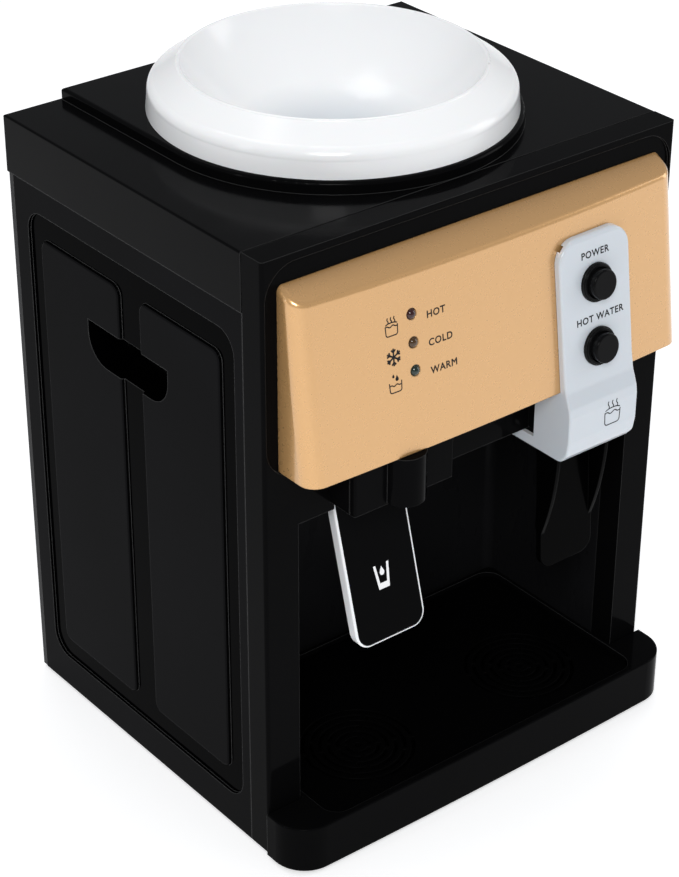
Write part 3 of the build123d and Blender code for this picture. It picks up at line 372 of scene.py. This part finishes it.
def curve_mesh(data):
    """Turn curve data into a plain mesh and throw the curve away."""
    holder = bpy.data.objects.new("holder", data)
    bpy.context.scene.collection.objects.link(holder)
    bpy.context.view_layer.update()
    mesh = bpy.data.meshes.new_from_object(holder.evaluated_get(bpy.context.evaluated_depsgraph_get()))
    bpy.data.objects.remove(holder)
    return [v.co.copy() for v in mesh.vertices], [tuple(p.vertices) for p in mesh.polygons]


def lettering(words, height):
    """Raised letters of the plain built-in font, centred on the origin in the XY plane."""
    data = bpy.data.curves.new("words", "FONT")
    data.body = words
    data.size = height / CAPITAL_SHARE
    data.extrude = INK_LIFT
    data.bevel_depth = LETTER_BOLDNESS
    data.bevel_resolution = 0
    data.align_x = "CENTER"
    data.space_character = LETTER_SPACING
    data.resolution_u = 4
    points, faces = curve_mesh(data)
    flat = INK_LIFT / (INK_LIFT + LETTER_BOLDNESS)
    return [Vector((p.x, p.y - height / 2, p.z * flat)) for p in points], faces


def stroke(points, width, closed=False):
    """A flat rounded line through points given in millimetres."""
    data = bpy.data.curves.new("stroke", "CURVE")
    data.dimensions = "3D"
    data.bevel_depth = width * MM / 2
    data.bevel_resolution = 2
    data.use_fill_caps = not closed
    line = data.splines.new("POLY")
    line.points.add(len(points) - 1)
    for point, (u, v) in zip(line.points, points):
        point.co = (u * MM, v * MM, 0, 1)
    line.use_cyclic_u = closed
    made, faces = curve_mesh(data)
    flat = 2 * INK_LIFT / (width * MM)
    return [Vector((p.x, p.y, p.z * flat)) for p in made], faces


def arc(u, v, radius, start, end, steps=10, squash=1.0):
    """Points along an arc, angles in degrees."""
    angles = [math.radians(start + (end - start) * n / steps) for n in range(steps + 1)]
    return [(u + radius * math.cos(a), v + squash * radius * math.sin(a)) for a in angles]


def plate(outline):
    """A flat filled shape with a thin edge, from points in millimetres."""
    count = len(outline)
    points = [Vector((u * MM, v * MM, side * INK_LIFT)) for side in (-1, 1) for u, v in outline]
    faces = [tuple(range(count))[::-1], tuple(range(count, 2 * count))]
    faces += [(n, (n + 1) % count, count + (n + 1) % count, count + n) for n in range(count)]
    return points, faces


def joined(shapes):
    points, faces = [], []
    for shape_points, shape_faces in shapes:
        first = len(points)
        points += shape_points
        faces += [tuple(first + index for index in face) for face in shape_faces]
    return points, faces


def shifted(shape, u, v, grow=1.0):
    points, faces = shape
    return [Vector((p.x * grow + u, p.y * grow + v, p.z)) for p in points], faces


def cup_outline():
    """A glass with round lower corners."""
    left = [(-3.1, 1.6), (-2.95, -1.8)] + arc(-1.9, -1.8, 1.05, 180, 270, 5)
    right = arc(1.9, -1.8, 1.05, 270, 360, 5) + [(2.95, -1.8), (3.1, 1.6)]
    return left + right


def hot_cup_icon(width=ICON_LINE):
    """A glass with three wisps of steam over it."""
    steam = [[(u + 0.28 * math.sin(n * 1.1), 2.5 + 0.42 * n) for n in range(7)] for u in (-1.7, 0.0, 1.7)]
    wave = [(u / 4, 1.15 + 0.35 * math.sin(u * 0.5)) for u in range(-12, 13)]
    lines = [cup_outline(), wave, arc(0, 1.7, 3.1, 20, 160, 10, 0.32)] + steam
    return joined([stroke(line, width) for line in lines])


def warm_cup_icon():
    """A glass with two drops falling into it."""
    wave = [(u / 4, 0.2 + 0.3 * math.sin(u * 0.55)) for u in range(-11, 12)]
    lines = [stroke(cup_outline(), ICON_LINE), stroke(wave, ICON_LINE)]
    drops = [shifted(drop(), 0.9 * MM, 2.6 * MM, 0.75), shifted(drop(), -0.9 * MM, 4.0 * MM, 0.5)]
    return joined(lines + drops)


def drop():
    round_part = arc(0, 0, 1.1, -210, 30, 14)
    return plate(round_part + [(0.0, 2.4)])


def snowflake_icon():
    lines = []
    for n in range(6):
        turn = Matrix.Rotation(math.radians(90 + 60 * n), 2)
        arm = [(0, 0), (4.1, 0)]
        barbs = [[(2.3, 0), (3.5, 1.15)], [(2.3, 0), (3.5, -1.15)]]
        for line in [arm] + barbs:
            lines.append([tuple(turn @ Vector(p)) for p in line])
    return joined([stroke(line, FLAKE_LINE) for line in lines])


def glass_icon():
    """Bold open glass with a drop above its water, for the lever."""
    left = [(-4.2, 5.6), (-3.0, 5.6), (-1.9, -2.6), (1.9, -2.6), (3.0, 5.6), (4.2, 5.6)]
    foot = [(2.9, -5.2), (-2.9, -5.2)]
    return joined([plate(left + foot), shifted(drop(), 0, 1.9 * MM, 1.15)])


def print_on(name, node, shapes, material, body):
    """Wrap flat shapes, given as (shape, x, z), onto the front of a node's surface."""
    surface = front_surface(node)
    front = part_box(node)[0].y - RAY_RUN_UP
    points, faces = joined([shifted(shape, x, z) for shape, x, z in shapes])
    wrapped = []
    for point in points:
        hit, normal, _, _ = surface.ray_cast(Vector((point.x, front, point.y)), Vector((0, 1, 0)))
        if normal.y > 0:
            normal = -normal
        wrapped.append(hit + normal * (INK_LIFT + point.z))
    add_mesh(name, wrapped, faces, material, body)


def add_mesh(name, points, faces, material, body):
    mesh = bpy.data.meshes.new(name)
    mesh.from_pydata(points, [], faces)
    mesh.validate()
    mesh.materials.append(material)
    piece = bpy.data.objects.new(name, mesh)
    bpy.context.scene.collection.objects.link(piece)
    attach(piece, body)


def centre(node):
    low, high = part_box(node)
    return (low + high) / 2


def print_fascia():
    """Each light has its word on the right and its icon on the left."""
    lights = [centre("led_lens_" + name) for name in ("hot", "cold", "warm")]
    words = ("HOT", "COLD", "WARM")
    icons = (hot_cup_icon(), snowflake_icon(), warm_cup_icon())
    grow = (1.3, 1.2, 1.3)
    word_gap, word_drop = 10.0 * MM, 2.6 * MM
    icon_gap, icon_drop = 13.6 * MM, 3.6 * MM
    texts = []
    for word, light in zip(words, lights):
        shape = lettering(word, LABEL_HEIGHT)
        left = min(p.x for p in shape[0])
        texts.append((shape, light.x + word_gap - left, light.z - word_drop))
    print_on("fascia_words", "fascia_panel", texts, BLACK_INK, "cabinet")
    marks = []
    for icon, light, size in zip(icons, lights, grow):
        marks.append((shifted(icon, 0, 0, size), light.x - icon_gap, light.z - icon_drop))
    print_on("fascia_icons", "fascia_panel", marks, BLACK_INK, "cabinet")


def print_control_box():
    """A word over each button, and a glass on the beak."""
    power, hot = centre("power_button"), centre("hot_water_button")
    word_rise, long_word_shift = 16.6 * MM, 2 * MM
    texts = [
        (lettering("POWER", LABEL_HEIGHT), power.x, power.z + word_rise),
        (lettering("HOT WATER", LABEL_HEIGHT), hot.x + long_word_shift, hot.z + word_rise),
    ]
    low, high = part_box("control_box")
    cup_grow, cup_from_right, cup_rise = 1.9, 19.5 * MM, 23.0 * MM
    icon = shifted(hot_cup_icon(BOX_ICON_LINE), 0, 0, cup_grow)
    cup = (icon, high.x - cup_from_right, low.z + cup_rise)
    print_on("box_words", "control_box", texts, BLACK_INK, "cabinet")
    print_on("box_icon", "control_box", [cup], BLACK_INK, "cabinet")


def print_lever():
    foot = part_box("cold_lever_face")[0].z
    mark_grow, mark_rise = 1.3, 34.5 * MM
    icon = shifted(glass_icon(), 0, 0, mark_grow)
    mark = (icon, centre("cold_lever_face").x, foot + mark_rise)
    print_on("lever_icon", "cold_lever_face", [mark], WHITE_INK, "cold_lever")


# ---- light, floor and camera --------------------------------------------------------------------
def softbox(name, place, aim, size, power):
    data = bpy.data.lights.new(name, "AREA")
    data.shape = "RECTANGLE"
    data.size, data.size_y = size
    data.energy = power
    lamp = bpy.data.objects.new(name, data)
    lamp.location = place
    lamp.rotation_euler = (Vector(aim) - Vector(place)).to_track_quat("-Z", "Y").to_euler()
    bpy.context.scene.collection.objects.link(lamp)


def light_scene():
    aim = (0.0, 0.0, 0.2)
    softbox("key", (-1.3, -1.5, 1.7), aim, (0.7, 0.7), 25.0)
    softbox("right_fill", (1.9, -1.0, 0.9), aim, (0.8, 1.4), 9.0)
    softbox("overhead", (0.2, 0.6, 2.2), aim, (1.6, 1.0), 14.0)
    softbox("left_strip", (-2.2, 0.1, 0.9), aim, (0.08, 1.6), 3.0)
    world = bpy.data.worlds.new("studio")
    world.use_nodes = True
    backdrop = world.node_tree.nodes["Background"]
    backdrop.inputs[0].default_value = (0.90, 0.92, 0.95, 1.0)
    backdrop.inputs[1].default_value = 0.42
    bpy.context.scene.world = world
    bpy.context.scene.view_settings.view_transform = "Standard"


def lay_floor():
    """Bright paper that runs past the view on every side."""
    reach = 14.0
    mesh = bpy.data.meshes.new("floor")
    corners = [(-reach, -reach, 0), (reach, -reach, 0), (reach, reach, 0), (-reach, reach, 0)]
    mesh.from_pydata(corners, [], [(0, 1, 2, 3)])
    glow = {"Emission_Color": rgb(1.0, 1.0, 1.0), "Emission_Strength": 0.45}
    s = Shader("floor_paper", Specular_IOR_Level=0.1, **glow)
    s.feed("Base Color", s.mixed(s.noise(3.0), rgb(0.86, 0.86, 0.865), rgb(0.89, 0.89, 0.895)))
    s.feed("Roughness", s.ranged(s.noise(40.0), 0.3, 0.7, 0.8, 0.95))
    mesh.materials.append(s.material)
    floor = bpy.data.objects.new("floor", mesh)
    bpy.context.scene.collection.objects.link(floor)


def place_camera():
    back = Vector((
        math.sin(CAMERA_AZIMUTH) * math.cos(CAMERA_ELEVATION),
        -math.cos(CAMERA_AZIMUTH) * math.cos(CAMERA_ELEVATION),
        math.sin(CAMERA_ELEVATION),
    ))
    data = bpy.data.cameras.new("camera")
    data.lens = CAMERA_LENS
    data.sensor_width = 36.0
    data.clip_start, data.clip_end = 0.05, 60.0
    camera = bpy.data.objects.new("camera", data)
    camera.location = CAMERA_AIM + back * CAMERA_DISTANCE
    turn = (-back).to_track_quat("-Z", "Y").to_matrix() @ Matrix.Rotation(CAMERA_ROLL, 3, "Z")
    camera.rotation_euler = turn.to_euler()
    bpy.context.scene.collection.objects.link(camera)
    bpy.context.scene.camera = camera


place_camera()
dress_nodes()
print_fascia()
print_control_box()
print_lever()
lay_floor()
light_scene()
